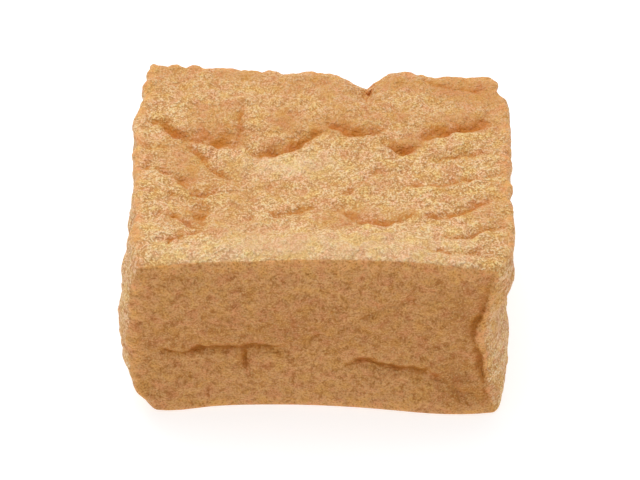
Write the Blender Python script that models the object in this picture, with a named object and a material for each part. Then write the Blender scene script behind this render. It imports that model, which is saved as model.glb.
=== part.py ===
"""A thick block of deep-fried tofu lying on its broad face.

It is one solid. The block starts as a box with rounded edges. Frying swells its sides
and shrinks its skin, so that the top gathers into folds that face forwards, a deep
gather cuts the top's rear edge, and shallow cracks run across the front.

Lengths are metres, +Z is up and -Y is the front. The origin is on the surface that the
block rests on, under the middle of its outline. The tables below are in millimetres.
"""

from typing import NamedTuple

import bmesh
import bpy
import numpy as np
from mathutils import Vector, noise

MM = 0.001

# The block before frying changes it
WIDTH = 82.0
DEPTH = 66.6
HEIGHT = 41.6
EDGE_RADIUS = 1.3
GRID_STEP = 1.9

# The skin's uneven swelling, finer than the named folds
LUMP_SIZE = 9.0
LUMP_HEIGHT = 0.5
PUCKER_SIZE = 4.6
PUCKER_HEIGHT = 0.4
WANDER_SIZE = 5.0
WANDER = 0.9

# The skin is smooth where it meets the resting surface
FOOT = 5.0

CRUST_COLOUR = (0.70, 0.42, 0.17, 1.0)
CRUST_ROUGHNESS = 0.62


class Fold(NamedTuple):
    """A crease in one face. Its line runs to the right, and behind is the side above it.

    The roll is how strongly the skin bulges over the crease from behind.
    """

    line: tuple
    depth: float
    behind: float
    ahead: float
    roll: float = 0.0


class Swell(NamedTuple):
    """A mound on one face, or a hollow where its height is negative."""

    centre: tuple
    reach: tuple
    height: float


# Places on the top are x and y, on the front and rear x and z, on the two ends y and z
TOP_FOLDS = (
    Fold(((-38, 14.4), (-34, 12.6), (-30.6, 9.8), (-27, 7.4)), 1.3, 7.0, 2.2, 3.0),
    Fold(((-28.5, 8.6), (-24, 7.4), (-20, 7.2), (-15.8, 7.6)), 1.1, 10.0, 2.2, 3.5),
    Fold(((-13.5, 4.8), (-10.4, 3.6), (-7.4, 4.4), (-4.4, 7.0), (1.6, 12.0)), 1.4, 8.0, 2.2, 3.5),
    Fold(((-17.5, 8.0), (-14.5, 4.6), (-9, 3.0)), 0.8, 5.0, 2.0, 3.0),
    Fold(((-16.8, 20), (-17.2, 13), (-17.4, 6.0)), 1.0, 5.0, 1.6, 4.0),
    Fold(((1.2, 14.0), (4.6, 12.4), (7.6, 11.0), (10.6, 10.8), (14.8, 13.0)), 1.3, 8.0, 2.0, 3.0),
    Fold(((13.4, 8.4), (16.4, 6.0), (19.6, 5.7), (22.6, 8.0)), 1.25, 5.0, 2.0, 3.0),
    Fold(((21.4, 8.8), (26, 10.8), (31, 12.4), (37.5, 14.6)), 1.35, 9.0, 2.2, 3.5),
    Fold(((21.4, 7.5), (20.8, 3.0), (18.4, -2.4)), 0.6, 4.5, 2.0, 3.0),
    Fold(((22.6, 2.2), (28, 2.8), (33, 4.2), (38.5, 6.8)), 0.9, 6.0, 1.8, 3.5),
    Fold(((18.5, -5.0), (24, -6.0), (31, -4.4), (40, -2.2)), 0.9, 7.0, 1.8, 3.5),
    Fold(((20, -16.8), (26, -16.2), (30.6, -14.6), (34, -12.4), (38.5, -10.2)), 1.0, 7.0, 2.0, 3.5),
    Fold(((24, -23.0), (30, -23.8), (35, -22.2), (38.8, -19.4)), 0.9, 5.5, 1.8, 3.5),
    Fold(((20, -27.4), (29, -29.0), (38, -29.4)), 0.7, 3.0, 1.6, 2.0),
    Fold(((2.6, -12.6), (6.4, -16.6), (11.4, -19.8), (15.6, -18.8), (21.5, -15.0)), 1.1, 7.0, 2.2, 3.5),
    Fold(((-11, -17.2), (-5, -15.4), (0.5, -12.0)), 0.9, 4.5, 2.2, 2.5),
    Fold(((-20, -21), (-16, -19.8), (-12, -15.8)), 0.6, 3.4, 2.0, 2.0),
    Fold(((-36, -16.2), (-31, -17.4), (-27.5, -20.4), (-24.8, -21.2)), 0.9, 4.5, 2.2, 2.5),
    Fold(((-25.2, -21.6), (-25.0, -16.6), (-23.4, -11.0)), 1.0, 6.0, 1.8),
    Fold(((-35, -27.6), (-31.4, -25.4), (-28, -23.0), (-24.8, -21.2)), 0.8, 3.6, 2.4, 2.0),
    Fold(((-30, 9.6), (-25.4, 1.8), (-20.6, -3.2), (-16.4, -5.8)), 0.9, 3.4, 2.2, 1.5),
    Fold(((-33, -2.6), (-28.6, -8.2), (-24.4, -9.2), (-19, -5.0)), 1.0, 7.0, 2.2, 3.0),
    Fold(((-41, -0.6), (-36, -2.4), (-31, -3.8)), 0.8, 3.4, 2.0, 2.0),
    Fold(((-41, 5.4), (-35.5, 5.4), (-30, 6.0)), 0.6, 3.4, 2.0, 2.0),
    Fold(((-41, -9.6), (-35.5, -8.8), (-30, -11.2)), 0.8, 3.4, 2.0, 2.0),
    Fold(((0, -3.6), (5.6, -7.6), (9.5, -6.0), (13, -1.6), (18, -3.2)), 0.6, 4.0, 2.2, 2.0),
    Fold(((22, 30.6), (31, 28.4), (38, 26.4)), 1.0, 4.0, 2.0, 1.0),
    Fold(((10.8, 20), (11.2, 30), (11.6, 44)), 2.6, 7.0, 3.0),
)
TOP_SWELLS = (
    Swell((0, 22), (46, 12), 0.5),
    Swell((-40, 36), (16, 14), 1.5),
    Swell((-14, 36), (12, 8), -0.2),
    Swell((0, -6), (24, 12), -1.3),
    Swell((-24, -2), (9, 14), -1.0),
    Swell((-26, -17), (7, 6), -0.7),
    Swell((14, -14), (9, 5), -0.5),
    Swell((2, -29), (30, 7), 1.5),
    Swell((-18, -33), (12, 4), -0.5),
    Swell((11.2, 36), (6, 9), -1.0),
    Swell((0, 38), (60, 8), -0.8),
    Swell((-30, 36), (2.2, 3), 0.9),
    Swell((-24, 36), (2.4, 3), 0.9),
    Swell((-33, 36), (3, 3), -0.9),
    Swell((-8.2, 36), (4, 6), -1.5),
    Swell((-2.2, 36), (2.2, 3), 0.9),
    Swell((6, 36), (4, 7), -0.9),
    Swell((20, 36), (6, 8), 0.4),
    Swell((27, 36), (3.6, 4), -0.7),
    Swell((33, 36), (3, 4), 0.6),
    Swell((35, 37), (9, 9), -0.5),
    Swell((-42, -37), (12, 8), -2.4),
    Swell((42, -37), (12, 8), -2.4),
)
FRONT_FOLDS = (
    Fold(((-35, 18.4), (-30.5, 16.4), (-22, 17.0), (-13.6, 17.4), (-5, 18.0)), 1.3, 4.0, 2.4, 2.0),
    Fold(((-3, 17.4), (-1, 20.0), (7, 21.6)), 0.6, 1.8, 1.8),
    Fold(((-15.6, 11.0), (-15.0, 17.6)), 1.3, 3.0, 2.6),
    Fold(((7, 12.4), (10.4, 14.2), (15, 13.2), (22, 12.6), (30, 10.0)), 1.3, 4.0, 2.4, 2.0),
    Fold(((10, 24.4), (14, 28.0), (23.4, 31.8)), 0.6, 1.8, 1.8),
    Fold(((40.4, -2), (39.8, 12), (39.0, 22), (39.4, 30), (40.2, 44)), 1.0, 6.0, 1.4),
    Fold(((31.5, 8.0), (35.0, 6.4), (38.0, 7.6)), 0.6, 3.0, 2.0, 1.0),
)
REAR_FOLDS = (
    Fold(((11.0, 12), (12.0, 26), (11.2, 50)), 3.6, 7.0, 5.0),
    Fold(((-34, 22), (-20, 19.6), (-6, 21.4), (6, 18)), 1.1, 4.0, 2.4, 2.0),
    Fold(((-27, 9), (-24, 16), (-23, 24)), 0.8, 2.2, 2.2),
    Fold(((17, 15), (25, 13), (34, 15.4)), 1.0, 4.0, 2.4, 2.0),
)
LEFT_FOLDS = (
    Fold(((-30, 17), (-18, 15.4), (-6, 17.6), (5, 16.0)), 1.1, 4.0, 2.6, 2.0),
    Fold(((2, 26), (12, 23.6), (24, 25.4)), 0.9, 4.0, 2.4, 2.0),
    Fold(((-19, 27), (-16.8, 34), (-17.4, 46)), 0.9, 2.6, 2.6),
    Fold(((6.6, 31), (5.6, 37), (6.4, 46)), 0.9, 2.6, 2.6),
)
RIGHT_FOLDS = (
    Fold(((-30, 29.4), (-20, 28.6), (-10, 31.0)), 1.1, 3.0, 3.0),
    Fold(((-26, 13), (-10, 15), (4, 13.4), (18, 16.0)), 1.0, 4.0, 2.6, 2.0),
    Fold(((-4.6, 30), (-3.0, 37), (-2.4, 46)), 0.9, 2.6, 2.6),
    Fold(((9.4, 27), (15.6, 36), (17.6, 46)), 1.1, 2.8, 2.8),
)

# How far each side of the block has moved out, or in where the height is negative
FRONT_SWELLS = (
    Swell((0, 28), (34, 9), 0.5),
    Swell((-12, 18), (14, 4), -0.3),
    Swell((-37, 2), (9, 9), 1.6),
    Swell((30, 2), (14, 9), 1.5),
    Swell((-6, 2), (18, 8), -0.7),
    Swell((0, -2), (60, 5), -0.9),
)
REAR_SWELLS = (
    Swell((-8, 20), (34, 13), 0.9),
    Swell((11.4, 41), (5.6, 14), -1.6),
    Swell((-18, 41), (14, 9), 0.5),
    Swell((34, 41), (9, 9), -0.6),
)
LEFT_SWELLS = (
    Swell((36, 40), (13, 60), -3.0),
    Swell((21, 41), (4, 8), -1.0),
    Swell((-5, 40), (8, 8), -1.0),
    Swell((-20, 27), (7, 7), -1.2),
    Swell((-22, 0), (7, 10), -2.2),
    Swell((-36, 0), (4, 8), 0.8),
    Swell((12, 30), (24, 60), -1.2),
    Swell((-26, 46), (16, 9), -4.2),
    Swell((13, 34), (6, 12), 0.7),
    Swell((-25, 20), (8, 7), 1.1),
    Swell((-40, 27), (8, 60), -4.4),
    Swell((-30, -3), (60, 8), -6.4),
)
RIGHT_SWELLS = (
    Swell((39, 40), (11, 60), -3.9),
    Swell((27, 41), (3.5, 6), -0.8),
    Swell((20.5, 41), (2.5, 5), -0.7),
    Swell((-9, 41), (2.5, 5), -0.8),
    Swell((21, 40), (8, 20), 1.3),
    Swell((6, 22), (20, 13), 0.6),
    Swell((-20, 42), (15, 10), 1.2),
    Swell((-20, 6), (10, 7), 0.7),
    Swell((-40, 26), (8, 60), -8.6),
    Swell((-28, 29.5), (5, 6), 1.4),
    Swell((-36, 41), (5, 6), 1.0),
    Swell((-34, 0), (5, 6), 1.9),
    Swell((-24, 24.5), (14, 5), -2.0),
    Swell((-30, -3), (60, 5), -1.0),
)


def curve_through(points, per_span=6):
    """Points along a smooth curve that passes through the given ones."""
    ends = np.array([points[0], *points, points[-1]], float)
    t = np.linspace(0, 1, per_span, endpoint=False)[:, None]
    curve = []
    for before, start, stop, after in zip(ends, ends[1:], ends[2:], ends[3:]):
        slope = (stop - before) * t
        bend = (2 * before - 5 * start + 4 * stop - after) * t**2
        twist = (3 * start - before - 3 * stop + after) * t**3
        curve.append((2 * start + slope + bend + twist) / 2)
    return np.vstack([*curve, ends[-1:]])


def fold_relief(places, fold):
    """How far one fold moves the skin: a sharp bottom with a roll behind, less at its ends."""
    curve = curve_through(fold.line)
    spans = np.diff(curve, axis=0)
    lengths = np.linalg.norm(spans, axis=1)
    travelled = np.concatenate([[0], np.cumsum(lengths)])
    nearest = np.full(len(places), np.inf)
    above = np.zeros(len(places), bool)
    along = np.zeros(len(places))
    for start, span, length, before in zip(curve, spans, lengths, travelled):
        offset = places - start
        t = np.clip(offset @ span / length**2, 0, 1)
        distance = np.linalg.norm(offset - t[:, None] * span, axis=1)
        closer = distance < nearest
        nearest = np.where(closer, distance, nearest)
        above = np.where(closer, span[0] * offset[:, 1] > span[1] * offset[:, 0], above)
        along = np.where(closer, (before + t * length) / travelled[-1], along)
    away = np.clip(nearest / np.where(above, fold.behind, fold.ahead), 0, 1)
    roll = np.where(above, fold.roll, 0)
    taper = np.sqrt(np.clip(4 * along * (1 - along), 0, 1))
    return fold.depth * taper * (1 - away) ** 2 * (roll * away - 1)


def fold_total(places, folds):
    """The relief of all the folds. Where they cross, the deepest crease and highest roll show."""
    creases = np.zeros(len(places))
    rolls = np.zeros(len(places))
    for fold in folds:
        relief = fold_relief(places, fold)
        creases = np.minimum(creases, relief)
        rolls = np.maximum(rolls, relief)
    return creases + rolls


def swell_total(places, swells):
    """How far the swells together move one side."""
    total = np.zeros(len(places))
    for swell in swells:
        offset = (places - np.array(swell.centre)) / np.array(swell.reach)
        total += swell.height * np.exp(-((offset**2).sum(axis=1)))
    return total


def noise_at(points, size, shift=0.0):
    """Smooth noise from about -1 to 1, whose lumps are about as large as size."""
    return np.array([noise.noise(Vector(point / size) + Vector((shift, 0, 0))) for point in points])


def smooth(x):
    """0 below 0, 1 above 1, and an even rise between."""
    x = np.clip(x, 0, 1)
    return x * x * (3 - 2 * x)


def rounded_box(points):
    """The box's surface points moved on to its rounded edges, and the way that each one faces."""
    half = np.array([WIDTH, DEPTH, HEIGHT]) / 2
    middle = np.array([0, 0, HEIGHT / 2])
    from_middle = points - middle
    inner = np.clip(from_middle, EDGE_RADIUS - half, half - EDGE_RADIUS)
    facing = from_middle - inner
    facing /= np.linalg.norm(facing, axis=1)[:, None]
    return inner + EDGE_RADIUS * facing + middle, facing


def fold_skin(points, facing):
    """How far each point of the skin moves outwards for the folds and the finer lumps."""
    wander = np.stack([noise_at(points, WANDER_SIZE, shift) for shift in (11, 23, 37)], axis=1)
    seen = points + WANDER * wander
    relief = np.zeros(len(points))
    faces = (
        (2, 1, (0, 1), TOP_FOLDS),
        (1, -1, (0, 2), FRONT_FOLDS),
        (1, 1, (0, 2), REAR_FOLDS),
        (0, -1, (1, 2), LEFT_FOLDS),
        (0, 1, (1, 2), RIGHT_FOLDS),
    )
    for axis, sign, across, folds in faces:
        share = np.where(facing[:, axis] * sign > 0, facing[:, axis] ** 2, 0)
        relief += share * fold_total(seen[:, across], folds)
    lumps = LUMP_HEIGHT * noise_at(points, LUMP_SIZE)
    puckers = PUCKER_HEIGHT * (3 * np.abs(noise_at(points, PUCKER_SIZE, 5)) - 1)
    return relief + smooth(points[:, 2] / FOOT) * (lumps + puckers)


def swell_block(points):
    """Moves the sides of the block out or in, and what lies between them in proportion."""
    x, y, z = points.T
    across, back, up = 2 * x / WIDTH, 2 * y / DEPTH, z / HEIGHT
    left, right = np.clip(-across, 0, None), np.clip(across, 0, None)
    front, rear = np.clip(-back, 0, None), np.clip(back, 0, None)
    ends = points[:, [1, 2]]
    broad = points[:, [0, 2]]
    moved = points.copy()
    moved[:, 0] += right * swell_total(ends, RIGHT_SWELLS) - left * swell_total(ends, LEFT_SWELLS)
    moved[:, 1] += rear * swell_total(broad, REAR_SWELLS) - front * swell_total(broad, FRONT_SWELLS)
    moved[:, 2] += up * swell_total(points[:, [0, 1]], TOP_SWELLS)
    return moved


def centred(points):
    """The points moved sideways, to put the middle of the outline over the origin."""
    middle = (points.max(axis=0) + points.min(axis=0)) / 2
    return points - middle * np.array([1, 1, 0])


def block_mesh():
    """The fried block as an even grid of quads on one flat base, in metres."""
    size = np.array([WIDTH, DEPTH, HEIGHT])
    cells = np.round(size / GRID_STEP).astype(int)
    bm = bmesh.new()
    bmesh.ops.create_cube(bm, size=1)
    for axis, count in enumerate(cells):
        along = [e for e in bm.edges if abs((e.verts[0].co - e.verts[1].co)[axis]) > 0.5]
        bmesh.ops.subdivide_edges(bm, edges=along, cuts=int(count) - 1, use_grid_fill=True)
    points = np.array([v.co for v in bm.verts]) * size + np.array([0, 0, HEIGHT / 2])
    points, facing = rounded_box(points)
    relief = fold_skin(points, facing)
    points = swell_block(points) + relief[:, None] * facing
    points[:, 2] = np.maximum(points[:, 2], 0)
    for vertex, point in zip(bm.verts, centred(points)):
        vertex.co = Vector(point * MM)
    base = [face for face in bm.faces if all(v.co.z == 0 for v in face.verts)]
    bmesh.ops.dissolve_faces(bm, faces=base, use_verts=True)
    mesh = bpy.data.meshes.new("tofu_block")
    bm.to_mesh(mesh)
    bm.free()
    return mesh


def crust():
    """The browned skin of the block."""
    material = bpy.data.materials.new("fried_crust")
    material.use_nodes = True
    shader = material.node_tree.nodes["Principled BSDF"]
    shader.inputs["Base Color"].default_value = CRUST_COLOUR
    shader.inputs["Roughness"].default_value = CRUST_ROUGHNESS
    return material


def main():
    for old in list(bpy.data.objects):
        bpy.data.objects.remove(old)
    mesh = block_mesh()
    mesh.shade_smooth()
    mesh.materials.append(crust())
    block = bpy.data.objects.new("tofu_block", mesh)
    bpy.context.scene.collection.objects.link(block)


main()
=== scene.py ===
"""A thick block of deep-fried tofu on a white table.

The block's skin is folded as its solid is, on a finer grid. Geometry Nodes then raise the
lumps and pebbles of the crust, and one material browns it where frying did, paints shade
into its creases and hollows, and paints highlight on its tips and on the top's front band.

The tables of folds and swells are in millimetres, in the solid's own frame. Everything in
Blender is in metres, with +Z up and -Y the front.
"""

import math
from typing import NamedTuple

import bpy
import numpy as np
from bpy.props import FloatProperty, FloatVectorProperty, PointerProperty
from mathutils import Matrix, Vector, noise


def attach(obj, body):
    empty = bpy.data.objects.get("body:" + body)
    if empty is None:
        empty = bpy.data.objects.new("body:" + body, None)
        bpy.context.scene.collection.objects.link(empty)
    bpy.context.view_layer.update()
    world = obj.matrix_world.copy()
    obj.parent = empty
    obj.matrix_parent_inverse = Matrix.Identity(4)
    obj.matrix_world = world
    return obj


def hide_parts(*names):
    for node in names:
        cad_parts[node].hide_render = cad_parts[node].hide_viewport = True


bl_info = {
    "name": "Fried tofu block",
    "version": (1, 0, 0),
    "blender": (4, 5, 0),
    "location": "View3D > Sidebar > Tofu",
    "description": "Builds a block of deep-fried tofu on a white table, round its packed solid",
    "category": "Object",
}

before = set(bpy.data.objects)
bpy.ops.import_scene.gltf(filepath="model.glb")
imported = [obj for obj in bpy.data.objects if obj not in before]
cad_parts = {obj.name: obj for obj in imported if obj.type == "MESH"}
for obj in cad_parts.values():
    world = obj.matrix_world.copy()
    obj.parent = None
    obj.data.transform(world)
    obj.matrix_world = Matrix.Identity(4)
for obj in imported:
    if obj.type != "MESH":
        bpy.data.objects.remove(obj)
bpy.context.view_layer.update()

MM = 0.001

# The block before frying changes it, as its solid has it
WIDTH = 82.0
DEPTH = 66.6
HEIGHT = 41.6
EDGE_RADIUS = 1.3

# The skin's uneven swelling, finer than the named folds, and how far it bends their lines
LUMP_SIZE = 9.0
LUMP_HEIGHT = 0.5
PUCKER_SIZE = 4.6
PUCKER_HEIGHT = 0.4
WANDER_SIZE = 5.0
WANDER = 0.9
FINE_WANDER_SIZE = 1.8
FINE_WANDER = 0.5
# Where in the noise each of these starts, to keep them apart
WANDER_SHIFTS = (11, 23, 37)
PUCKER_SHIFT = 5

# The skin is smooth where it meets the resting surface
FOOT = 5.0

# A crease is darkened on the slope behind it, and only just over its bottom ahead: partly
# real browning, partly painted shade on the slope that faces away from the light
BROWN_AND_SHADE_AHEAD = 0.9
FULL_BROWN_AND_SHADE_DEPTH = 1.4

# The front's smoother skin fades in between these shares of facing the front
FRONT_FROM = 0.55
FRONT_TO = 0.75

# How far the browned rim of the block's edges reaches. Behind the front it widens again
LEAST_RIM = 0.1
FRONT_RIM = 4.5
REAR_RIM = 3.4
RIM_WIDENS_OVER = 8.0
# The two ends take this share of the toast colour, so they are darker than the top
ENDS_DARKER = 0.2

# Noise bends the cells of the lumps and pebbles. A bubble ends this far out in its cell, and a
# lump or pebble where the square of that distance reaches its own number
BEND_SIZE = 2.2
BEND = 1.1
BUBBLE_END = 0.8
LUMP_END_SQUARED = 0.55

# The crust's patterns. Real bubbles go down to 0.1 mm, too fine to show, so the grain is coarser
GRAIN_SIZE = 0.4
BUBBLE_SIZE = 0.95
SPECK_SIZE = 1.3
MOTTLE_SIZE = 2.4
TINGE_SIZE = 3.0
PATCH_SIZE = 11.0
BUBBLE_HEIGHT = 0.75

# The crust is dull and dry in its hollows and oily on its tips, and light goes a little way in
DRY_LEVEL = 0.3
DRY_ROUGHNESS = 0.6
OILY_LEVEL = 0.8
OILY_ROUGHNESS = 0.36
OIL_IOR = 1.45
OIL_SHINE = 0.4
SCATTER_SHARE = 0.15
SCATTER_COLOURS = (1.0, 0.45, 0.2)
SCATTER_REACH = 0.8

# Places of the colour sockets on a Mix node, which has a set of sockets for each data type
MIX_FACTOR = 0
MIX_A = 6
MIX_B = 7
MIX_RESULT = 2


class Fold(NamedTuple):
    """A crease in one face. Its line runs to the right, and behind is the side above it.

    The roll is how strongly the skin bulges over the crease from behind, and the last field is
    the share of the slope behind that is darkened, partly real browning from frying and partly
    painted shade, since that slope faces away from the light.
    """

    line: tuple
    depth: float
    behind: float
    ahead: float
    roll: float = 0.0
    browned_and_shaded: float = 0.45


class Swell(NamedTuple):
    """A mound on one face, or a hollow where its height is negative. It marks toasting too."""

    centre: tuple
    reach: tuple
    height: float


# Places on the top are x and y, on the front and rear x and z, on the two ends y and z
TOP_FOLDS = (
    Fold(((-38, 14.4), (-34, 12.6), (-30.6, 9.8), (-27, 7.4)), 1.3, 7.0, 2.2, 3.0, 0.4),
    Fold(((-28.5, 8.6), (-24, 7.4), (-20, 7.2), (-15.8, 7.6)), 1.1, 10.0, 2.2, 3.5, 0.75),
    Fold(((-13.5, 4.8), (-10.4, 3.6), (-7.4, 4.4), (-4.4, 7.0), (1.6, 12.0)), 1.4, 8.0, 2.2, 3.5, 0.4),
    Fold(((-17.5, 8.0), (-14.5, 4.6), (-9, 3.0)), 0.8, 5.0, 2.0, 3.0, 0.3),
    Fold(((-16.8, 20), (-17.2, 13), (-17.4, 6.0)), 1.0, 5.0, 1.6, 4.0, 0.2),
    Fold(((1.2, 14.0), (4.6, 12.4), (7.6, 11.0), (10.6, 10.8), (14.8, 13.0)), 1.3, 8.0, 2.0, 3.0),
    Fold(((13.4, 8.4), (16.4, 6.0), (19.6, 5.7), (22.6, 8.0)), 1.25, 5.0, 2.0, 3.0, 0.65),
    Fold(((21.4, 8.8), (26, 10.8), (31, 12.4), (37.5, 14.6)), 1.35, 9.0, 2.2, 3.5, 0.5),
    Fold(((21.4, 7.5), (20.8, 3.0), (18.4, -2.4)), 0.6, 4.5, 2.0, 3.0, 0.1),
    Fold(((22.6, 2.2), (28, 2.8), (33, 4.2), (38.5, 6.8)), 0.9, 6.0, 1.8, 3.5, 0.2),
    Fold(((18.5, -5.0), (24, -6.0), (31, -4.4), (40, -2.2)), 0.9, 7.0, 1.8, 3.5, 0.25),
    Fold(((20, -16.8), (26, -16.2), (30.6, -14.6), (34, -12.4), (38.5, -10.2)), 1.0, 7.0, 2.0, 3.5, 0.3),
    Fold(((24, -23.0), (30, -23.8), (35, -22.2), (38.8, -19.4)), 0.9, 5.5, 1.8, 3.5, 0.3),
    Fold(((20, -27.4), (29, -29.0), (38, -29.4)), 0.7, 3.0, 1.6, 2.0),
    Fold(((2.6, -12.6), (6.4, -16.6), (11.4, -19.8), (15.6, -18.8), (21.5, -15.0)), 1.1, 7.0, 2.2, 3.5),
    Fold(((-11, -17.2), (-5, -15.4), (0.5, -12.0)), 0.9, 4.5, 2.2, 2.5),
    Fold(((-20, -21), (-16, -19.8), (-12, -15.8)), 0.6, 3.4, 2.0, 2.0, 0.2),
    Fold(((-36, -16.2), (-31, -17.4), (-27.5, -20.4), (-24.8, -21.2)), 0.9, 4.5, 2.2, 2.5),
    Fold(((-25.2, -21.6), (-25.0, -16.6), (-23.4, -11.0)), 1.0, 6.0, 1.8, 0.0, 0.7),
    Fold(((-35, -27.6), (-31.4, -25.4), (-28, -23.0), (-24.8, -21.2)), 0.8, 3.6, 2.4, 2.0),
    Fold(((-30, 9.6), (-25.4, 1.8), (-20.6, -3.2), (-16.4, -5.8)), 0.9, 3.4, 2.2, 1.5),
    Fold(((-33, -2.6), (-28.6, -8.2), (-24.4, -9.2), (-19, -5.0)), 1.0, 7.0, 2.2, 3.0),
    Fold(((-41, -0.6), (-36, -2.4), (-31, -3.8)), 0.8, 3.4, 2.0, 2.0),
    Fold(((-41, 5.4), (-35.5, 5.4), (-30, 6.0)), 0.6, 3.4, 2.0, 2.0),
    Fold(((-41, -9.6), (-35.5, -8.8), (-30, -11.2)), 0.8, 3.4, 2.0, 2.0),
    Fold(((0, -3.6), (5.6, -7.6), (9.5, -6.0), (13, -1.6), (18, -3.2)), 0.6, 4.0, 2.2, 2.0),
    Fold(((22, 30.6), (31, 28.4), (38, 26.4)), 1.0, 4.0, 2.0, 1.0),
    Fold(((10.8, 20), (11.2, 30), (11.6, 44)), 2.6, 7.0, 3.0, 0.0, 0.04),
)
TOP_SWELLS = (
    Swell((0, 22), (46, 12), 0.5),
    Swell((-40, 36), (16, 14), 1.5),
    Swell((-14, 36), (12, 8), -0.2),
    Swell((0, -6), (24, 12), -1.3),
    Swell((-24, -2), (9, 14), -1.0),
    Swell((-26, -17), (7, 6), -0.7),
    Swell((14, -14), (9, 5), -0.5),
    Swell((2, -29), (30, 7), 1.5),
    Swell((-18, -33), (12, 4), -0.5),
    Swell((11.2, 36), (6, 9), -1.0),
    Swell((0, 38), (60, 8), -0.8),
    Swell((-30, 36), (2.2, 3), 0.9),
    Swell((-24, 36), (2.4, 3), 0.9),
    Swell((-33, 36), (3, 3), -0.9),
    Swell((-8.2, 36), (4, 6), -1.5),
    Swell((-2.2, 36), (2.2, 3), 0.9),
    Swell((6, 36), (4, 7), -0.9),
    Swell((20, 36), (6, 8), 0.4),
    Swell((27, 36), (3.6, 4), -0.7),
    Swell((33, 36), (3, 4), 0.6),
    Swell((35, 37), (9, 9), -0.5),
    Swell((-42, -37), (12, 8), -2.4),
    Swell((42, -37), (12, 8), -2.4),
)
FRONT_FOLDS = (
    Fold(((-35, 18.4), (-30.5, 16.4), (-22, 17.0), (-13.6, 17.4), (-5, 18.0)), 1.3, 4.0, 2.4, 2.0),
    Fold(((-3, 17.4), (-1, 20.0), (7, 21.6)), 0.6, 1.8, 1.8),
    Fold(((-15.6, 11.0), (-15.0, 17.6)), 1.3, 3.0, 2.6, 0.0, 0.9),
    Fold(((7, 12.4), (10.4, 14.2), (15, 13.2), (22, 12.6), (30, 10.0)), 1.3, 4.0, 2.4, 2.0),
    Fold(((10, 24.4), (14, 28.0), (23.4, 31.8)), 0.6, 1.8, 1.8),
    Fold(((40.4, -2), (39.8, 12), (39.0, 22), (39.4, 30), (40.2, 44)), 1.0, 6.0, 1.4, 0.0, 0.5),
    Fold(((31.5, 8.0), (35.0, 6.4), (38.0, 7.6)), 0.6, 3.0, 2.0, 1.0, 0.9),
)
REAR_FOLDS = (
    Fold(((11.0, 12), (12.0, 26), (11.2, 50)), 3.6, 7.0, 5.0),
    Fold(((-34, 22), (-20, 19.6), (-6, 21.4), (6, 18)), 1.1, 4.0, 2.4, 2.0),
    Fold(((-27, 9), (-24, 16), (-23, 24)), 0.8, 2.2, 2.2),
    Fold(((17, 15), (25, 13), (34, 15.4)), 1.0, 4.0, 2.4, 2.0),
)
LEFT_FOLDS = (
    Fold(((-30, 17), (-18, 15.4), (-6, 17.6), (5, 16.0)), 1.1, 4.0, 2.6, 2.0),
    Fold(((2, 26), (12, 23.6), (24, 25.4)), 0.9, 4.0, 2.4, 2.0),
    Fold(((-19, 27), (-16.8, 34), (-17.4, 46)), 0.9, 2.6, 2.6),
    Fold(((6.6, 31), (5.6, 37), (6.4, 46)), 0.9, 2.6, 2.6),
)
RIGHT_FOLDS = (
    Fold(((-30, 29.4), (-20, 28.6), (-10, 31.0)), 1.1, 3.0, 3.0),
    Fold(((-26, 13), (-10, 15), (4, 13.4), (18, 16.0)), 1.0, 4.0, 2.6, 2.0),
    Fold(((-4.6, 30), (-3.0, 37), (-2.4, 46)), 0.9, 2.6, 2.6),
    Fold(((9.4, 27), (15.6, 36), (17.6, 46)), 1.1, 2.8, 2.8),
)

# How far each side of the block has moved out, or in where the height is negative
FRONT_SWELLS = (
    Swell((0, 28), (34, 9), 0.5),
    Swell((-12, 18), (14, 4), -0.3),
    Swell((-37, 2), (9, 9), 1.6),
    Swell((30, 2), (14, 9), 1.5),
    Swell((-6, 2), (18, 8), -0.7),
    Swell((0, -2), (60, 5), -0.9),
)
REAR_SWELLS = (
    Swell((-8, 20), (34, 13), 0.9),
    Swell((11.4, 41), (5.6, 14), -1.6),
    Swell((-18, 41), (14, 9), 0.5),
    Swell((34, 41), (9, 9), -0.6),
)
LEFT_SWELLS = (
    Swell((36, 40), (13, 60), -3.0),
    Swell((21, 41), (4, 8), -1.0),
    Swell((-5, 40), (8, 8), -1.0),
    Swell((-20, 27), (7, 7), -1.2),
    Swell((-22, 0), (7, 10), -2.2),
    Swell((-36, 0), (4, 8), 0.8),
    Swell((12, 30), (24, 60), -1.2),
    Swell((-26, 46), (16, 9), -4.2),
    Swell((13, 34), (6, 12), 0.7),
    Swell((-25, 20), (8, 7), 1.1),
    Swell((-40, 27), (8, 60), -4.4),
    Swell((-30, -3), (60, 8), -6.4),
)
RIGHT_SWELLS = (
    Swell((39, 40), (11, 60), -3.9),
    Swell((27, 41), (3.5, 6), -0.8),
    Swell((20.5, 41), (2.5, 5), -0.7),
    Swell((-9, 41), (2.5, 5), -0.8),
    Swell((21, 40), (8, 20), 1.3),
    Swell((6, 22), (20, 13), 0.6),
    Swell((-20, 42), (15, 10), 1.2),
    Swell((-20, 6), (10, 7), 0.7),
    Swell((-40, 26), (8, 60), -8.6),
    Swell((-28, 29.5), (5, 6), 1.4),
    Swell((-36, 41), (5, 6), 1.0),
    Swell((-34, 0), (5, 6), 1.9),
    Swell((-24, 24.5), (14, 5), -2.0),
    Swell((-30, -3), (60, 5), -1.0),
)
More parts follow.
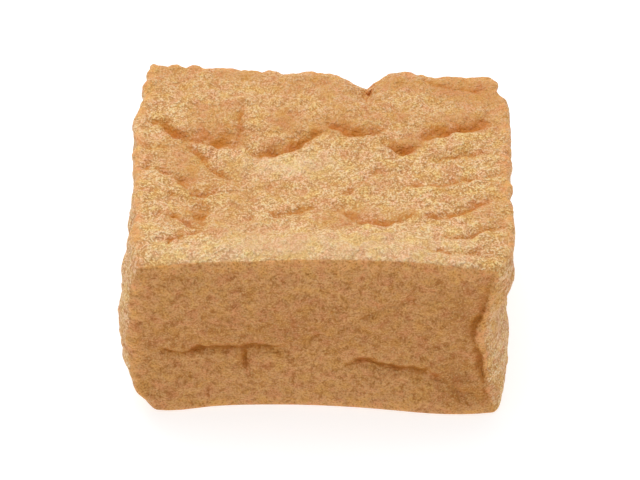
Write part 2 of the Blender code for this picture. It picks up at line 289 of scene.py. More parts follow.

# Where the skin is darker than elsewhere, or paler where the height is negative: partly real
# toasting and partly painted shade behind the creases, and painted light where marked below
TOP_TOAST_AND_LIGHT = (
    Swell((0, 32), (60, 14), 0.45),
    Swell((35, 27), (8, 6), 1.5),
    Swell((17, 28.3), (4, 2.5), 0.8),
    Swell((28, 14.2), (7, 2.4), 0.6),
    Swell((-37, 31), (6, 5), 0.5),
    Swell((-7, 14), (4, 4.5), 1.0),
    Swell((-22.5, 10.5), (7, 3), 0.8),
    Swell((-20, 18), (3.5, 3), 0.6),
    Swell((13, -5), (4, 2.5), 0.5),
    Swell((-10, -6), (4, 2.5), 0.5),
    Swell((2.6, 13.0), (4, 3.4), 1.2),
    Swell((-8.5, 5.6), (4.5, 2.2), 0.9),
    Swell((17.0, 17.0), (3.2, 2.6), 0.9),
    Swell((18, 7), (4, 2), 0.8),
    Swell((10, 12.4), (4, 2), 0.8),
    Swell((30, 16.5), (6, 2.4), 0.8),
    Swell((6, 3.5), (3, 2.5), 0.5),
    Swell((1.8, 23.5), (3, 2.5), 0.5),
    Swell((-6.7, 25), (3, 2.5), 0.5),
    Swell((-21.6, 31), (4, 3), 0.5),
    Swell((-28, -24.5), (5, 2.5), 0.6),
    Swell((17.8, -15.6), (4, 2.5), 0.6),
    Swell((9.3, -15.0), (4, 2.5), 0.5),
    Swell((-16.8, 8.2), (2.2, 2.6), 0.8),
    Swell((20, 9), (2.6, 2.4), 0.6),
    Swell((-28, -15.5), (4, 3), 0.6),
    Swell((0, 28.5), (7, 3), 0.5),
    Swell((-28, -3.5), (4, 4), 0.7),
    Swell((39, -29), (4, 5), 0.7),
    Swell((-40, -30), (3, 5), 0.6),
    Swell((-27, 16), (3, 3), 0.5),
    Swell((-30, 0), (5, 5), 0.5),
    Swell((4.6, -19), (5, 3.5), 0.9),
    # Painted light: the top is paler over a low ridge in its middle and along its front band
    Swell((-6, 0.5), (11, 4), -0.9),
    Swell((0, -30), (60, 7), -0.7),
)
FRONT_TOAST_AND_LIGHT = (
    Swell((0, 21), (60, 5), 0.25),
    Swell((-20, 21.4), (4, 3), 0.4),
    Swell((-33.7, 21), (4, 3), 0.4),
    Swell((-4.6, 25), (6, 4), 0.5),
    Swell((18, 25.5), (5, 4), 0.3),
    # Painted shade as well as toasting: the front is darker beside its right-hand fold
    Swell((32.8, 7), (5, 8), 1.0),
    Swell((34, 30.6), (4.5, 5), 0.9),
    Swell((-1.4, 36.7), (6, 3), -0.5),
    Swell((11.5, 13.7), (5, 3), -0.4),
    Swell((0.8, 11.4), (5, 3), -0.4),
    # Painted light: the front is paler near its foot
    Swell((0, 4), (60, 5), -0.3),
)


def linear(hex_code):
    """An sRGB hex colour as linear red, green, blue and alpha."""
    parts = [int(hex_code[i : i + 2], 16) / 255 for i in (1, 3, 5)]
    return (*(c / 12.92 if c <= 0.04045 else ((c + 0.055) / 1.055) ** 2.4 for c in parts), 1.0)


def add_node(tree, kind, inputs=None, **settings):
    """Adds a node with its settings. Each input, by name or place, takes a value or a link."""
    node = tree.nodes.new(kind)
    for name, value in settings.items():
        setattr(node, name, value)
    for key, value in (inputs or {}).items():
        if isinstance(value, bpy.types.NodeSocket):
            tree.links.new(value, node.inputs[key])
        else:
            node.inputs[key].default_value = value
    return node


class BlockSettings(bpy.types.PropertyGroup):
    """The crust's fine relief and its colours."""

    grid_step: FloatProperty(
        name="Grid step",
        description="Side of one quad of the skin",
        default=0.0005,
        min=0.0004,
        precision=5,
        unit="LENGTH",
    )
    lump_size: FloatProperty(
        name="Lump size",
        description="Width of the cauliflower-like lumps of the crust",
        default=0.0036,
        precision=5,
        unit="LENGTH",
    )
    lump_height: FloatProperty(
        name="Lump height",
        description="How far the lumps stand out",
        default=0.00032,
        precision=5,
        unit="LENGTH",
    )
    pebble_size: FloatProperty(
        name="Pebble size",
        description="Width of the small blisters on the lumps",
        default=0.00150,
        precision=5,
        unit="LENGTH",
    )
    pebble_height: FloatProperty(
        name="Pebble height",
        description="How far the small blisters stand out",
        default=0.00022,
        precision=5,
        unit="LENGTH",
    )
    front_relief: FloatProperty(
        name="Front relief",
        description="Share of that relief on the smoother front",
        default=0.4,
        subtype="FACTOR",
    )
    # Painted highlight, on the high places of the crust's relief and on the top's paler ridge and front
    # band
    tip_highlight: FloatVectorProperty(
        name="Tips",
        description="Pale crust on the tips of the blisters",
        default=linear("#FFE1B2"),
        size=4,
        subtype="COLOR",
    )
    skin: FloatVectorProperty(
        name="Skin",
        description="Golden crust between the tips",
        default=linear("#E6B373"),
        size=4,
        subtype="COLOR",
    )
    # Painted shade, in the low places of the crust's relief
    hollow_shade: FloatVectorProperty(
        name="Hollows",
        description="Darker crust between the blisters",
        default=linear("#C48B4E"),
        size=4,
        subtype="COLOR",
    )
    # Partly the crust's own toasted patches, partly painted shade behind the creases
    toast_and_shade: FloatVectorProperty(
        name="Toasted patches",
        description="Tan crust where the frying went further",
        default=linear("#D2914D"),
        size=4,
        subtype="COLOR",
    )
    rim: FloatVectorProperty(
        name="Edges",
        description="Orange-tan crust of the block's edges",
        default=linear("#EEAD68"),
        size=4,
        subtype="COLOR",
    )
    # Partly the folds' own oily browning, partly painted shade on the slopes behind them that face away
    # from the light
    crease_brown_and_shade: FloatVectorProperty(
        name="Creases",
        description="Deep orange-brown crust in the folds",
        default=linear("#C87A1C"),
        size=4,
        subtype="COLOR",
    )
    front: FloatVectorProperty(
        name="Front",
        description="Browner crust of the front",
        default=linear("#D3985A"),
        size=4,
        subtype="COLOR",
    )
    golden: FloatVectorProperty(
        name="Golden tinge",
        description="Tint of the patches that fried more yellow",
        default=linear("#FFFDE2"),
        size=4,
        subtype="COLOR",
    )
    rosy: FloatVectorProperty(
        name="Rosy tinge",
        description="Tint of the patches that fried more red",
        default=linear("#FFF2F6"),
        size=4,
        subtype="COLOR",
    )
    # Partly the front's own pits and cracks, partly painted shade in its creases, beside its right-hand
    # fold and in the low places of its grain
    pit_and_shade: FloatVectorProperty(
        name="Pits",
        description="Brown of the front's pits and cracks",
        default=linear("#A86512"),
        size=4,
        subtype="COLOR",
    )


class StageSettings(bpy.types.PropertyGroup):
    """The table, the lights and the camera."""

    floor_size: FloatProperty(
        name="Floor size",
        description="Side of the white table",
        default=12.0,
        unit="LENGTH",
    )
    floor_glow: FloatProperty(
        name="Floor glow",
        description="Light that the table gives out of its own",
        default=0.7,
    )
    fill: FloatProperty(
        name="Fill",
        description="Strength of the light from all round",
        default=0.60,
    )
    key_power: FloatProperty(
        name="Key power",
        description="Power of the soft light above and behind the block",
        default=3.3,
        unit="POWER",
    )
    key_size: FloatProperty(
        name="Key size",
        description="Width of the soft light",
        default=0.55,
        unit="LENGTH",
    )
    key_place: FloatVectorProperty(
        name="Key place",
        description="Where the soft light hangs, behind the block and to its left",
        default=(-0.12, 0.27, 0.70),
        subtype="TRANSLATION",
        unit="LENGTH",
    )
    azimuth: FloatProperty(
        name="Azimuth",
        description="How far the camera stands to the right of the front",
        default=math.radians(1.3),
        subtype="ANGLE",
    )
    elevation: FloatProperty(
        name="Elevation",
        description="How far the camera looks down",
        default=math.radians(40),
        subtype="ANGLE",
    )
    distance: FloatProperty(
        name="Distance",
        description="From the camera to the block",
        default=0.76,
        unit="LENGTH",
    )
    focal_length: FloatProperty(
        name="Focal length",
        description="Focal length on a sensor 36 mm wide",
        default=196.65,
        unit="CAMERA",
    )
    aim: FloatVectorProperty(
        name="Aim",
        description="Where the camera looks",
        default=(0.00039, 0.00022, 0.020),
        subtype="TRANSLATION",
        unit="LENGTH",
    )


def curve_through(points, per_span=6):
    """Points along a smooth curve that passes through the given ones."""
    ends = np.array([points[0], *points, points[-1]], float)
    t = np.linspace(0, 1, per_span, endpoint=False)[:, None]
    curve = []
    for before, start, stop, after in zip(ends, ends[1:], ends[2:], ends[3:]):
        slope = (stop - before) * t
        bend = (2 * before - 5 * start + 4 * stop - after) * t**2
        twist = (3 * start - before - 3 * stop + after) * t**3
        curve.append((2 * start + slope + bend + twist) / 2)
    return np.vstack([*curve, ends[-1:]])


def smooth(x):
    """0 below 0, 1 above 1, and an even rise between."""
    x = np.clip(x, 0, 1)
    return x * x * (3 - 2 * x)


def fold_marks(places, fold):
    """How far one fold moves the skin, and how far browning and painted shade darken its crease, 0 to 1."""
    curve = curve_through(fold.line)
    spans = np.diff(curve, axis=0)
    lengths = np.linalg.norm(spans, axis=1)
    travelled = np.concatenate([[0], np.cumsum(lengths)])
    nearest = np.full(len(places), np.inf)
    above = np.zeros(len(places), bool)
    along = np.zeros(len(places))
    for start, span, length, before in zip(curve, spans, lengths, travelled):
        offset = places - start
        t = np.clip(offset @ span / length**2, 0, 1)
        distance = np.linalg.norm(offset - t[:, None] * span, axis=1)
        closer = distance < nearest
        nearest = np.where(closer, distance, nearest)
        above = np.where(closer, span[0] * offset[:, 1] > span[1] * offset[:, 0], above)
        along = np.where(closer, (before + t * length) / travelled[-1], along)
    away = np.clip(nearest / np.where(above, fold.behind, fold.ahead), 0, 1)
    roll = np.where(above, fold.roll, 0)
    taper = np.sqrt(np.clip(4 * along * (1 - along), 0, 1))
    relief = fold.depth * taper * (1 - away) ** 2 * (roll * away - 1)
    behind = fold.browned_and_shaded * fold.behind
    brown_and_shade_reach = np.where(above, behind, min(behind, BROWN_AND_SHADE_AHEAD))
    strength = taper * min(1, fold.depth / FULL_BROWN_AND_SHADE_DEPTH)
    return relief, strength * np.clip(1 - nearest / brown_and_shade_reach, 0, 1)


def fold_total(places, folds):
    """The relief of all the folds, and their browning and painted shade. Where they cross, the strongest
    shows.
    """
    creases = np.zeros(len(places))
    rolls = np.zeros(len(places))
    browning_and_shade = np.zeros(len(places))
    for fold in folds:
        relief, browned_and_shaded = fold_marks(places, fold)
        creases = np.minimum(creases, relief)
        rolls = np.maximum(rolls, relief)
        browning_and_shade = np.maximum(browning_and_shade, browned_and_shaded)
    return creases + rolls, browning_and_shade


def swell_total(places, swells):
    """How far the swells together move one side."""
    total = np.zeros(len(places))
    for swell in swells:
        offset = (places - np.array(swell.centre)) / np.array(swell.reach)
        total += swell.height * np.exp(-((offset**2).sum(axis=1)))
    return total


def noise_at(points, size, shift=0.0):
    """Smooth noise from about -1 to 1, whose lumps are about as large as size."""
    return np.array([noise.noise(Vector(point / size) + Vector((shift, 0, 0))) for point in points])


def rounded_box(points):
    """The box's surface points moved on to its rounded edges, and the way that each one faces."""
    half = np.array([WIDTH, DEPTH, HEIGHT]) / 2
    middle = np.array([0, 0, HEIGHT / 2])
    from_middle = points - middle
    inner = np.clip(from_middle, EDGE_RADIUS - half, half - EDGE_RADIUS)
    facing = from_middle - inner
    facing /= np.linalg.norm(facing, axis=1)[:, None]
    return inner + EDGE_RADIUS * facing + middle, facing


def fold_skin(points, facing):
    """How far the folds and lumps move each point of the skin outwards, and how far browning and painted
    shade darken it.
    """
    seen = points.copy()
    for reach, size in ((WANDER, WANDER_SIZE), (FINE_WANDER, FINE_WANDER_SIZE)):
        seen += reach * np.stack([noise_at(points, size, shift) for shift in WANDER_SHIFTS], axis=1)
    relief = np.zeros(len(points))
    browning_and_shade = np.zeros(len(points))
    faces = (
        (2, 1, (0, 1), TOP_FOLDS),
        (1, -1, (0, 2), FRONT_FOLDS),
        (1, 1, (0, 2), REAR_FOLDS),
        (0, -1, (1, 2), LEFT_FOLDS),
        (0, 1, (1, 2), RIGHT_FOLDS),
    )
    for axis, sign, across, folds in faces:
        share = np.where(facing[:, axis] * sign > 0, facing[:, axis] ** 2, 0)
        creases, browned_and_shaded = fold_total(seen[:, across], folds)
        relief += share * creases
        browning_and_shade += share * browned_and_shaded
    lumps = LUMP_HEIGHT * noise_at(points, LUMP_SIZE)
    puckers = PUCKER_HEIGHT * (3 * np.abs(noise_at(points, PUCKER_SIZE, PUCKER_SHIFT)) - 1)
    return relief + smooth(points[:, 2] / FOOT) * (lumps + puckers), browning_and_shade


def swell_block(points):
    """Moves the sides of the block out or in, and what lies between them in proportion."""
    x, y, z = points.T
    across, back, up = 2 * x / WIDTH, 2 * y / DEPTH, z / HEIGHT
    left, right = np.clip(-across, 0, None), np.clip(across, 0, None)
    front, rear = np.clip(-back, 0, None), np.clip(back, 0, None)
    ends = points[:, [1, 2]]
    broad = points[:, [0, 2]]
    moved = points.copy()
    moved[:, 0] += right * swell_total(ends, RIGHT_SWELLS) - left * swell_total(ends, LEFT_SWELLS)
    moved[:, 1] += rear * swell_total(broad, REAR_SWELLS) - front * swell_total(broad, FRONT_SWELLS)
    moved[:, 2] += up * swell_total(points[:, [0, 1]], TOP_SWELLS)
    return moved


def centred(points):
    """The points moved sideways, to put the middle of the outline over the origin."""
    middle = (points.max(axis=0) + points.min(axis=0)) / 2
    return points - middle * np.array([1, 1, 0])


def run_tree(tree, mesh, values):
    """Runs a Geometry Nodes tree on a mesh and returns the plain mesh that it makes."""
    carrier = bpy.data.objects.new(tree.name, mesh)
    bpy.context.scene.collection.objects.link(carrier)
    modifier = carrier.modifiers.new(tree.name, "NODES")
    modifier.node_group = tree
    for item in tree.interface.items_tree:
        if item.name in values:
            modifier[item.identifier] = values[item.name]
    depsgraph = bpy.context.evaluated_depsgraph_get()
    evaluated = carrier.evaluated_get(depsgraph)
    result = bpy.data.meshes.new_from_object(evaluated, depsgraph=depsgraph)
    carrier.modifiers.remove(modifier)
    bpy.data.objects.remove(carrier)
    return result


def new_tree(name, inputs):
    """A Geometry Nodes tree with named inputs, its input node and its output node."""
    tree = bpy.data.node_groups.new(name, "GeometryNodeTree")
    for label, kind in inputs:
        tree.interface.new_socket(name=label, in_out="INPUT", socket_type=kind)
    tree.interface.new_socket(name="Geometry", in_out="OUTPUT", socket_type="NodeSocketGeometry")
    return tree, add_node(tree, "NodeGroupInput"), add_node(tree, "NodeGroupOutput")


def finish_tree(tree, geometry, material, result):
    """Ends a tree with its instances made real and its material set."""
    realized = add_node(tree, "GeometryNodeRealizeInstances", {"Geometry": geometry})
    finished = add_node(
        tree,
        "GeometryNodeSetMaterial",
        {"Geometry": realized.outputs["Geometry"], "Material": material},
    )
    tree.links.new(finished.outputs["Geometry"], result.inputs["Geometry"])
    return tree


def grid_tree():
    """A box of even quads, whose size and number of cells are inputs."""
    inputs = (
        ("Size", "NodeSocketVector"),
        ("Columns", "NodeSocketInt"),
        ("Rows", "NodeSocketInt"),
        ("Layers", "NodeSocketInt"),
        ("Crust", "NodeSocketMaterial"),
    )
    tree, given, result = new_tree("block_grid", inputs)
    box = add_node(
        tree,
        "GeometryNodeMeshCube",
        {
            "Size": given.outputs["Size"],
            "Vertices X": given.outputs["Columns"],
            "Vertices Y": given.outputs["Rows"],
            "Vertices Z": given.outputs["Layers"],
        },
    )
    return finish_tree(tree, box.outputs["Mesh"], given.outputs["Crust"], result)


def crust_tree():
    """Raises lumps and pebbles on the skin, and stores how high each point of them is."""
    inputs = (
        ("Geometry", "NodeSocketGeometry"),
        ("Lump Size", "NodeSocketFloat"),
        ("Lump Height", "NodeSocketFloat"),
        ("Pebble Size", "NodeSocketFloat"),
        ("Pebble Height", "NodeSocketFloat"),
        ("Front Relief", "NodeSocketFloat"),
        ("Foot", "NodeSocketFloat"),
        ("Crust", "NodeSocketMaterial"),
    )
    tree, given, result = new_tree("crust_relief", inputs)
    place = add_node(tree, "GeometryNodeInputPosition").outputs[0]
    facing = add_node(tree, "GeometryNodeInputNormal").outputs[0]
    front = add_node(tree, "GeometryNodeInputNamedAttribute", {"Name": "front_skin"}, data_type="FLOAT")

    # The cells bend a little, so that no lump is a plain polygon
    bend = add_node(
        tree, "ShaderNodeTexNoise", {"Vector": place, "Scale": 1 / (BEND_SIZE * MM), "Detail": 1.0}
    )
    centred_bend = add_node(
        tree, "ShaderNodeVectorMath", {0: bend.outputs["Color"], 1: (0.5, 0.5, 0.5)}, operation="SUBTRACT"
    )
    scaled_bend = add_node(
        tree, "ShaderNodeVectorMath", {0: centred_bend.outputs[0], "Scale": BEND * MM}, operation="SCALE"
    )
    seen = add_node(tree, "ShaderNodeVectorMath", {0: place, 1: scaled_bend.outputs[0]}, operation="ADD")

    geometry = given.outputs["Geometry"]
    heights = []
    for name in ("Lump", "Pebble"):
        scale = add_node(
            tree, "ShaderNodeMath", {0: 1.0, 1: given.outputs[name + " Size"]}, operation="DIVIDE"
        )
        cells = add_node(
            tree, "ShaderNodeTexVoronoi", {"Vector": seen.outputs[0], "Scale": scale.outputs[0]}
        )
        round_top = add_node(
            tree,
            "ShaderNodeMath",
            {0: cells.outputs["Distance"], 1: cells.outputs["Distance"]},
            operation="MULTIPLY",
        )
        dome = add_node(
            tree,
            "ShaderNodeMapRange",
            {"Value": round_top.outputs[0], "From Max": LUMP_END_SQUARED, "To Min": 1.0, "To Max": 0.0},
        )
        store = add_node(
            tree,
            "GeometryNodeStoreNamedAttribute",
            {"Geometry": geometry, "Name": name.lower(), "Value": dome.outputs[0]},
            data_type="FLOAT",
            domain="POINT",
        )
        geometry = store.outputs["Geometry"]
        middle = add_node(tree, "ShaderNodeMath", {0: dome.outputs[0], 1: 0.5}, operation="SUBTRACT")
        height = add_node(
            tree,
            "ShaderNodeMath",
            {0: middle.outputs[0], 1: given.outputs[name + " Height"]},
            operation="MULTIPLY",
        )
        heights.append(height.outputs[0])

    total = add_node(tree, "ShaderNodeMath", {0: heights[0], 1: heights[1]}, operation="ADD")
    share = add_node(
        tree,
        "ShaderNodeMapRange",
        {"Value": front.outputs["Attribute"], "To Min": 1.0, "To Max": given.outputs["Front Relief"]},
    )
    level = add_node(tree, "ShaderNodeSeparateXYZ", {0: place})
    foot = add_node(
        tree, "ShaderNodeMapRange", {"Value": level.outputs["Z"], "From Max": given.outputs["Foot"]}
    )
    shared = add_node(
        tree, "ShaderNodeMath", {0: total.outputs[0], 1: share.outputs[0]}, operation="MULTIPLY"
    )
    footed = add_node(
        tree, "ShaderNodeMath", {0: shared.outputs[0], 1: foot.outputs[0]}, operation="MULTIPLY"
    )
    offset = add_node(
        tree, "ShaderNodeVectorMath", {0: facing, "Scale": footed.outputs[0]}, operation="SCALE"
    )
    raised = add_node(
        tree, "GeometryNodeSetPosition", {"Geometry": geometry, "Offset": offset.outputs[0]}
    )
    return finish_tree(tree, raised.outputs["Geometry"], given.outputs["Crust"], result)


def skin_mesh(step, crust):
    """The folded skin as an even grid, with its browning and painted shade and its smooth front as
    attributes.
    """
    size = np.array([WIDTH, DEPTH, HEIGHT])
    columns, rows, layers = (int(count) + 1 for count in np.round(size * MM / step))
    cells = {"Columns": columns, "Rows": rows, "Layers": layers}
    values = {"Size": (1.0, 1.0, 1.0), "Crust": crust, **cells}
    mesh = run_tree(grid_tree(), bpy.data.meshes.new("block_grid"), values)
    places = np.empty(len(mesh.vertices) * 3, np.float32)
    mesh.vertices.foreach_get("co", places)
    points = places.reshape(-1, 3).astype(float) * size + np.array([0, 0, HEIGHT / 2])
    to_sides = size / 2 - np.abs(points - np.array([0, 0, HEIGHT / 2]))
    to_edge = np.sort(to_sides, axis=1)[:, 1]
    points, facing = rounded_box(points)
    front_skin = smooth((-facing[:, 1] - FRONT_FROM) / (FRONT_TO - FRONT_FROM))
    behind_front = smooth((points[:, 1] + DEPTH / 2) / RIM_WIDENS_OVER)
    rim_width = LEAST_RIM + FRONT_RIM * front_skin + REAR_RIM * behind_front
    toast_and_light = np.clip(facing[:, 2], 0, 1) * swell_total(points[:, [0, 1]], TOP_TOAST_AND_LIGHT)
    toast_and_light += front_skin * swell_total(points[:, [0, 2]], FRONT_TOAST_AND_LIGHT)
    toast_and_light += ENDS_DARKER * facing[:, 0] ** 2
    relief, browning_and_shade = fold_skin(points, facing)
    points = swell_block(points) + relief[:, None] * facing
    points[:, 2] = np.maximum(points[:, 2], 0)
    mesh.vertices.foreach_set("co", (centred(points) * MM).astype(np.float32).ravel())
    marks = {
        "browning_and_shade": browning_and_shade,
        "front_skin": front_skin,
        "edge": smooth(1 - to_edge / rim_width),
        "toast_and_light": toast_and_light,
    }
    for name, value in marks.items():
        attribute = mesh.attributes.new(name, "FLOAT", "POINT")
        attribute.data.foreach_set("value", value.astype(np.float32))
    mesh.update()
    return mesh


def fried_crust(settings):
    """Deep-fried tofu skin: a dry blistered crust, with painted highlight on its tips, painted shade in its
    hollows, and oily brown with painted shade in its folds.
    """
    material = bpy.data.materials.new("fried_crust")
    material.use_nodes = True
    tree = material.node_tree
    shader = tree.nodes["Principled BSDF"]
    place = add_node(tree, "ShaderNodeTexCoord").outputs["Object"]
    marks = {
        name: add_node(tree, "ShaderNodeAttribute", attribute_name=name).outputs["Fac"]
        for name in ("browning_and_shade", "front_skin", "edge", "toast_and_light", "lump", "pebble")
    }

    # Grain is the roughness of single bubbles, speck the front's pits, mottle clusters of bubbles,
    # tinge the yellower and redder spots, and patch the uneven frying
    for name, size, detail in (
        ("grain", GRAIN_SIZE, 1.0),
        ("speck", SPECK_SIZE, 3.0),
        ("mottle", MOTTLE_SIZE, 2.0),
        ("tinge", TINGE_SIZE, 2.0),
        ("patch", PATCH_SIZE, 2.0),
    ):
        pattern = add_node(
            tree, "ShaderNodeTexNoise", {"Vector": place, "Scale": 1 / (size * MM), "Detail": detail}
        )
        marks[name] = pattern.outputs["Fac"]

    # Bubbles are round, and melt into each other at their edges
    cells = add_node(
        tree,
        "ShaderNodeTexVoronoi",
        {"Vector": place, "Scale": 1 / (BUBBLE_SIZE * MM), "Smoothness": 0.35},
        feature="SMOOTH_F1",
    )
    dome = add_node(
        tree,
        "ShaderNodeMapRange",
        {"Value": cells.outputs["Distance"], "From Max": BUBBLE_END, "To Min": 1.0, "To Max": 0.0},
    )
    marks["bubble"] = dome.outputs["Result"]

    # Relief is that of the finest bubbles, height how far a place stands out in all, and the third
    # mark the creases' browning and painted shade, broken up by clusters of bubbles
    sums = {
        "relief": (("bubble", 0.45), ("grain", 0.55)),
        "height": (("relief", 0.8), ("pebble", 0.1), ("lump", 0.1)),
        "browned_and_shaded": (("browning_and_shade", 1.0), ("mottle", 1.2), ("grain", -0.6)),
    }
    for mark, shares in sums.items():
        total = 0.0
        for name, share in shares:
            term = add_node(
                tree, "ShaderNodeMath", {0: marks[name], 1: share, 2: total}, operation="MULTIPLY_ADD"
            )
            total = term.outputs[0]
        marks[mark] = total

    # A layer covers the ones before it, up to its strength, where its mark goes from the first level
    # to the second. If it has a mask, it stays within that mark
    layers = (
        # Painted shade towards the hollow colour in the low places of the relief, and painted highlight
        # towards the tip colour on its high places
        ("height", 0.48, 0.30, 0.8, None, "MIX", settings.hollow_shade),
        ("height", 0.44, 0.68, 0.8, None, "MIX", settings.tip_highlight),
        ("grain", 0.48, 0.31, 0.9, None, "MIX", settings.hollow_shade),
        ("grain", 0.52, 0.69, 0.9, None, "MIX", settings.tip_highlight),
        ("patch", 0.50, 0.70, 0.4, None, "MIX", settings.toast_and_shade),
        # Darker where the toasting mark is positive, partly real toasting and partly painted shade; paler
        # where it is negative, which is painted light
        ("toast_and_light", 0.0, 1.0, 0.7, None, "MIX", settings.toast_and_shade),
        ("toast_and_light", 0.0, -1.0, 0.5, None, "MIX", settings.tip_highlight),
        ("front_skin", 0.0, 1.0, 1.0, None, "MIX", settings.front),
        # The same on the front: darker partly from real toasting and partly from painted shade, paler as
        # painted light
        ("toast_and_light", 0.0, 1.0, 0.6, "front_skin", "MIX", settings.pit_and_shade),
        ("toast_and_light", 0.0, -1.0, 0.5, "front_skin", "MIX", settings.skin),
        ("speck", 0.50, 0.34, 0.8, "front_skin", "MIX", settings.pit_and_shade),
        ("mottle", 0.36, 0.56, 0.9, "edge", "MIX", settings.rim),
        # On the front, painted shade in the low places of the grain and painted highlight on its high
        # places
        ("grain", 0.48, 0.30, 0.6, "front_skin", "MIX", settings.pit_and_shade),
        ("grain", 0.52, 0.70, 0.6, "front_skin", "MIX", settings.skin),
        # The creases' browning, darkened further by painted shade on the slopes behind them, which face
        # away from the light
        ("browned_and_shaded", 0.36, 0.84, 0.8, None, "MIX", settings.toast_and_shade),
        ("browned_and_shaded", 0.60, 1.12, 0.95, None, "MIX", settings.crease_brown_and_shade),
        ("browned_and_shaded", 0.45, 0.95, 0.8, "front_skin", "MIX", settings.pit_and_shade),
        ("tinge", 0.50, 0.36, 1.0, None, "MULTIPLY", settings.golden),
        ("tinge", 0.52, 0.66, 1.0, None, "MULTIPLY", settings.rosy),
    )
    shade = settings.skin
    for mark, first, second, strength, mask, blend, colour in layers:
        cover = add_node(
            tree,
            "ShaderNodeMapRange",
            {"Value": marks[mark], "From Min": first, "From Max": second, "To Max": strength},
        )
        factor = cover.outputs["Result"]
        if mask:
            masked = add_node(tree, "ShaderNodeMath", {0: factor, 1: marks[mask]}, operation="MULTIPLY")
            factor = masked.outputs[0]
        mixed = add_node(
            tree,
            "ShaderNodeMix",
            {MIX_FACTOR: factor, MIX_A: shade, MIX_B: colour},
            data_type="RGBA",
            blend_type=blend,
        )
        shade = mixed.outputs[MIX_RESULT]
    tree.links.new(shade, shader.inputs["Base Color"])

    gloss = add_node(
        tree,
        "ShaderNodeMapRange",
        {
            "Value": marks["height"],
            "From Min": DRY_LEVEL,
            "From Max": OILY_LEVEL,
            "To Min": DRY_ROUGHNESS,
            "To Max": OILY_ROUGHNESS,
        },
    )
    tree.links.new(gloss.outputs["Result"], shader.inputs["Roughness"])

    bump = add_node(
        tree, "ShaderNodeBump", {"Strength": 1.0, "Distance": BUBBLE_HEIGHT * MM, "Height": marks["relief"]}
    )
    tree.links.new(bump.outputs["Normal"], shader.inputs["Normal"])
    shader.inputs["IOR"].default_value = OIL_IOR
    shader.inputs["Specular IOR Level"].default_value = OIL_SHINE
    shader.inputs["Subsurface Weight"].default_value = SCATTER_SHARE
    shader.inputs["Subsurface Radius"].default_value = SCATTER_COLOURS
    shader.inputs["Subsurface Scale"].default_value = SCATTER_REACH * MM
    return material


def white_table(settings):
    """White acrylic lit from below, so that the block hardly throws a shadow."""
    material = bpy.data.materials.new("white_acrylic")
    material.use_nodes = True
    shader = material.node_tree.nodes["Principled BSDF"]
    shader.inputs["Base Color"].default_value = linear("#BCBCBC")
    shader.inputs["Roughness"].default_value = 0.9
    shader.inputs["Specular IOR Level"].default_value = 0.0
    shader.inputs["Emission Color"].default_value = (1.0, 1.0, 1.0, 1.0)
    shader.inputs["Emission Strength"].default_value = settings.floor_glow
    return material


class TOFU_OT_block(bpy.types.Operator):
    """Build the block's folded and blistered skin in place of its solid"""

    bl_idname = "tofu.block"
    bl_label = "Fried block"

    def execute(self, context):
        settings = context.scene.tofu_block
        crust = fried_crust(settings)
        values = {
            "Lump Size": settings.lump_size,
            "Lump Height": settings.lump_height,
            "Pebble Size": settings.pebble_size,
            "Pebble Height": settings.pebble_height,
            "Front Relief": settings.front_relief,
            "Foot": FOOT * MM,
            "Crust": crust,
        }
        mesh = run_tree(crust_tree(), skin_mesh(settings.grid_step, crust), values)
        mesh.shade_smooth()
        block = bpy.data.objects.new("fried_block", mesh)
        context.scene.collection.objects.link(block)
        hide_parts("tofu_block")
        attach(block, "root")
        return {"FINISHED"}


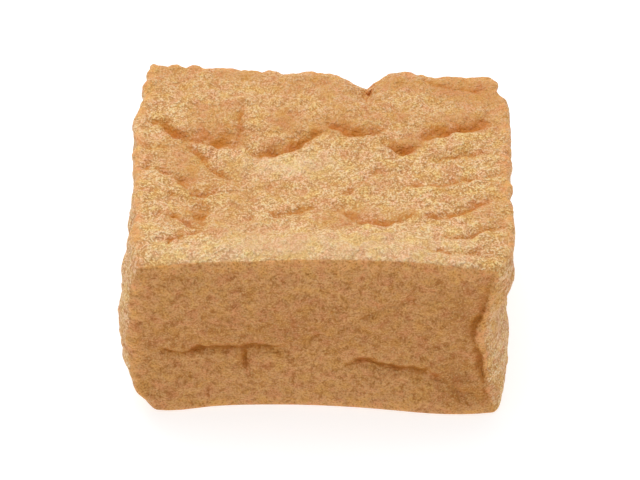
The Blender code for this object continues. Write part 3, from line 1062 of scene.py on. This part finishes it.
class TOFU_OT_stage(bpy.types.Operator):
    """Set the white table, the light and the camera round the block"""

    bl_idname = "tofu.stage"
    bl_label = "Table, light and camera"

    def execute(self, context):
        settings = context.scene.tofu_stage
        half = settings.floor_size / 2
        corners = [(-half, -half, 0), (half, -half, 0), (half, half, 0), (-half, half, 0)]
        floor_mesh = bpy.data.meshes.new("table")
        floor_mesh.from_pydata(corners, [], [(0, 1, 2, 3)])
        floor_mesh.materials.append(white_table(settings))
        floor = bpy.data.objects.new("table", floor_mesh)

        soft_light = bpy.data.lights.new("key", "AREA")
        soft_light.size = settings.key_size
        soft_light.energy = settings.key_power
        key = bpy.data.objects.new("key", soft_light)
        key.location = settings.key_place

        lens = bpy.data.cameras.new("camera")
        lens.lens = settings.focal_length
        lens.clip_start = 0.01
        camera = bpy.data.objects.new("camera", lens)
        flat = math.cos(settings.elevation)
        away = Vector(
            (
                math.sin(settings.azimuth) * flat,
                -math.cos(settings.azimuth) * flat,
                math.sin(settings.elevation),
            )
        )
        aim = Vector(settings.aim)
        camera.location = aim + settings.distance * away

        for placed in (key, camera):
            placed.rotation_euler = (placed.location - aim).to_track_quat("Z", "Y").to_euler()
        for piece in (floor, key, camera):
            context.scene.collection.objects.link(piece)
        context.scene.camera = camera

        world = bpy.data.worlds.new("studio")
        world.use_nodes = True
        world.node_tree.nodes["Background"].inputs["Color"].default_value = (1.0, 1.0, 1.0, 1.0)
        world.node_tree.nodes["Background"].inputs["Strength"].default_value = settings.fill
        context.scene.world = world
        context.scene.view_settings.view_transform = "Standard"
        return {"FINISHED"}


class TOFU_PT_tofu(bpy.types.Panel):
    """Builds the block and its stage, with their sizes and colours"""

    bl_idname = "TOFU_PT_tofu"
    bl_label = "Fried tofu"
    bl_space_type = "VIEW_3D"
    bl_region_type = "UI"
    bl_category = "Tofu"

    def draw(self, context):
        parts = (
            (context.scene.tofu_block, TOFU_OT_block.bl_idname),
            (context.scene.tofu_stage, TOFU_OT_stage.bl_idname),
        )
        for settings, operator in parts:
            box = self.layout.box()
            for name in settings.__annotations__:
                box.prop(settings, name)
            box.operator(operator)


CLASSES = (BlockSettings, StageSettings, TOFU_OT_block, TOFU_OT_stage, TOFU_PT_tofu)


def register():
    """Adds the settings, the operators and the panel."""
    for cls in CLASSES:
        bpy.utils.register_class(cls)
    bpy.types.Scene.tofu_block = PointerProperty(type=BlockSettings)
    bpy.types.Scene.tofu_stage = PointerProperty(type=StageSettings)


def unregister():
    """Takes them away again."""
    del bpy.types.Scene.tofu_stage
    del bpy.types.Scene.tofu_block
    for cls in reversed(CLASSES):
        bpy.utils.unregister_class(cls)


def main():
    """Builds the block and its stage."""
    register()
    bpy.ops.tofu.block()
    bpy.ops.tofu.stage()


if __name__ == "__main__":
    main()
